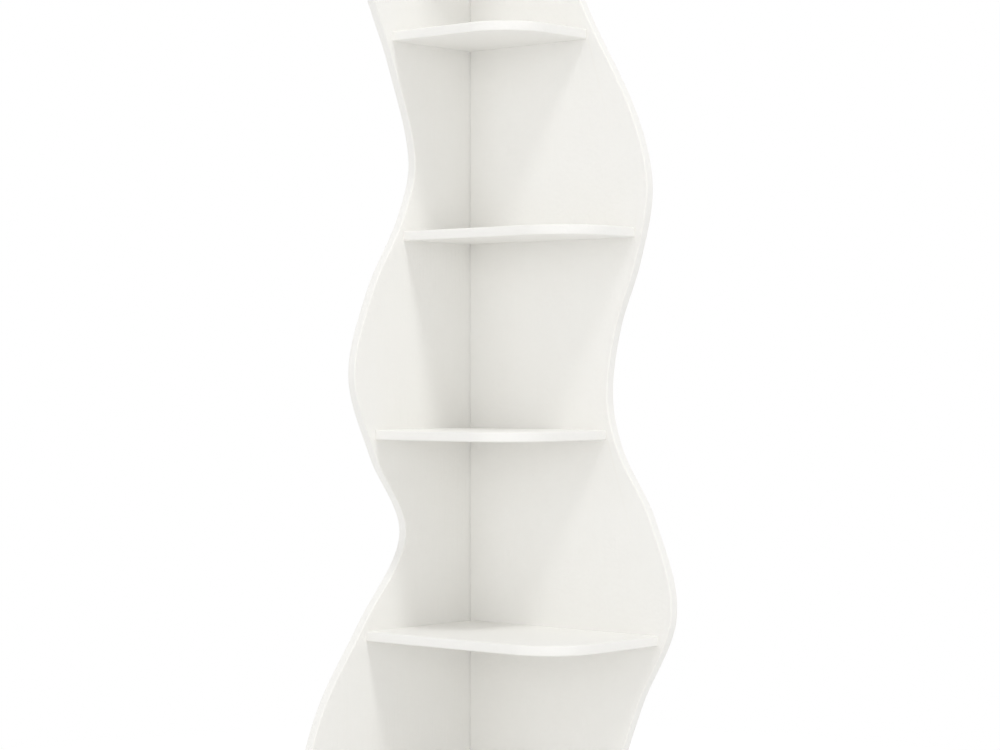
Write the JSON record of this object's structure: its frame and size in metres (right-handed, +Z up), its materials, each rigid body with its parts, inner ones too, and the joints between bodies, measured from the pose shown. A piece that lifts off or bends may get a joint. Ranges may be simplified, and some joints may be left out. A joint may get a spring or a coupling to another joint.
{
  "type": "dolls house corner shelf",
  "caption": "Open white corner shelf for a dolls' house: wavy-fronted side panels meet at a right angle and hold round-cornered shelves between them.",
  "frame": {"origin": "outer back corner of the unit at floor level, where the backs of the two side panels and the floor meet", "axes": "+X along the right panel away from the corner, -Y along the left panel away from the corner, +Z up the panels"},
  "size_m": [0.041, 0.0377, 0.165],
  "materials": {
    "white_paint": "thin wooden board sprayed with warm white satin paint, arrises softened by sanding",
    "pin_steel": "bright drawn steel wire, heads set flush"
  },
  "bodies": {
    "root": {"left_panel": "white_paint", "right_panel": "white_paint", "shelf_1": "white_paint", "shelf_2": "white_paint", "shelf_3": "white_paint", "shelf_4": "white_paint", "shelf_5": "white_paint", "shelf_6": "white_paint", "shelf_1_left_pins": "pin_steel", "shelf_2_left_pins": "pin_steel", "shelf_3_left_pins": "pin_steel", "shelf_4_left_pins": "pin_steel", "shelf_5_left_pins": "pin_steel", "shelf_6_left_pins": "pin_steel", "shelf_1_right_pins": "pin_steel", "shelf_2_right_pins": "pin_steel", "shelf_3_right_pins": "pin_steel", "shelf_4_right_pins": "pin_steel", "shelf_5_right_pins": "pin_steel", "shelf_6_right_pins": "pin_steel", "corner_pins": "pin_steel"}
  },
  "joints": []
}
